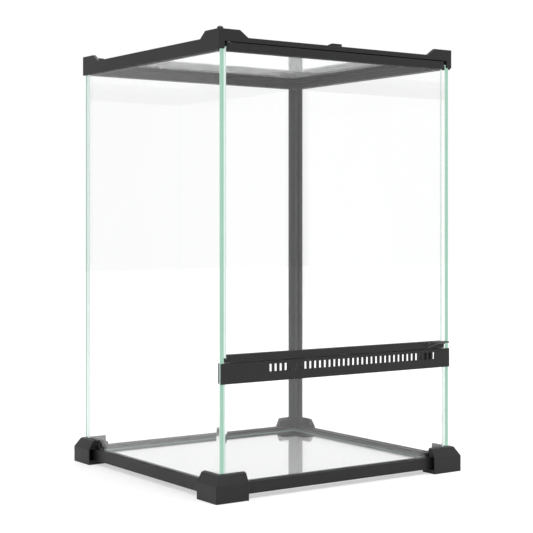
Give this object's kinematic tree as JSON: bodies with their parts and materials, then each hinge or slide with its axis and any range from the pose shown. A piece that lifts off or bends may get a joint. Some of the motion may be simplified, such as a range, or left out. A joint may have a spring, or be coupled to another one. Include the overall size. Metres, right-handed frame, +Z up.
{
  "type": "reptile terrarium",
  "caption": "Upright glass terrarium with a left-hinged front door over a slotted vent strip, a lift-off screen lid, a cable inlet and raised corner feet.",
  "frame": {"origin": "centre of the footprint, on the surface that the feet stand on", "axes": "+Z up, -Y out of the front with the door, +X to the right seen from the front"},
  "size_m": [0.32, 0.32, 0.4765],
  "materials": {
    "black_plastic": "moulded, satin black",
    "glass": "clear float glass with a green edge",
    "clear_silicone": "clear silicone",
    "black_silicone": "black silicone",
    "steel": "plain",
    "magnet": "sintered ferrite",
    "screen": "fine woven wire"
  },
  "bodies": {
    "tank": {"bottom_rail_front": "black_plastic", "bottom_rail_rear": "black_plastic", "bottom_rail_left": "black_plastic", "bottom_rail_right": "black_plastic", "foot_front_left": "black_plastic", "foot_front_right": "black_plastic", "foot_rear_left": "black_plastic", "foot_rear_right": "black_plastic", "base_pane": "glass", "left_pane": "glass", "right_pane": "glass", "rear_pane": "glass", "lower_front_pane": "glass", "rear_left_seam": "clear_silicone", "rear_right_seam": "black_silicone", "front_left_seam": "clear_silicone", "front_right_seam": "clear_silicone", "floor_seam": "clear_silicone", "vent_strip": "black_plastic", "catch_magnet": "magnet", "top_frame": "black_plastic", "hinge_pin_top": "steel", "hinge_pin_bottom": "steel"},
    "door": {"door_pane": "glass", "door_top_rail": "black_plastic", "door_bottom_rail": "black_plastic", "catch_plate": "steel"},
    "lid": {"lid_frame": "black_plastic", "lid_screen": "screen", "lid_retainer": "black_plastic"},
    "gate": {"cable_gate": "black_plastic"},
    "front_catch": {"lid_catch_front": "black_plastic"},
    "rear_catch": {"lid_catch_rear": "black_plastic"}
  },
  "joints": [
    {"name": "door_hinge", "type": "hinge", "parent": "tank", "child": "door", "pos_m": [-0.1385, -0.1475, 0.3], "axis": [0, 0, -1], "range_deg": [0, 105]},
    {"name": "lid_lift", "type": "slide", "parent": "tank", "child": "lid", "axis": [0, 0, 1], "range_m": [0, 0.06]},
    {"name": "cable_gate_slide", "type": "slide", "parent": "tank", "child": "gate", "axis": [1, 0, 0], "range_m": [0, 0.042]},
    {"name": "front_catch_turn", "type": "hinge", "parent": "tank", "child": "front_catch", "pos_m": [-0.1435, -0.1402, 0.4656], "axis": [0, 0, -1], "range_deg": [0, 90]},
    {"name": "rear_catch_turn", "type": "hinge", "parent": "tank", "child": "rear_catch", "pos_m": [0.1435, 0.1402, 0.4656], "axis": [0, 0, -1], "range_deg": [0, 90]}
  ]
}
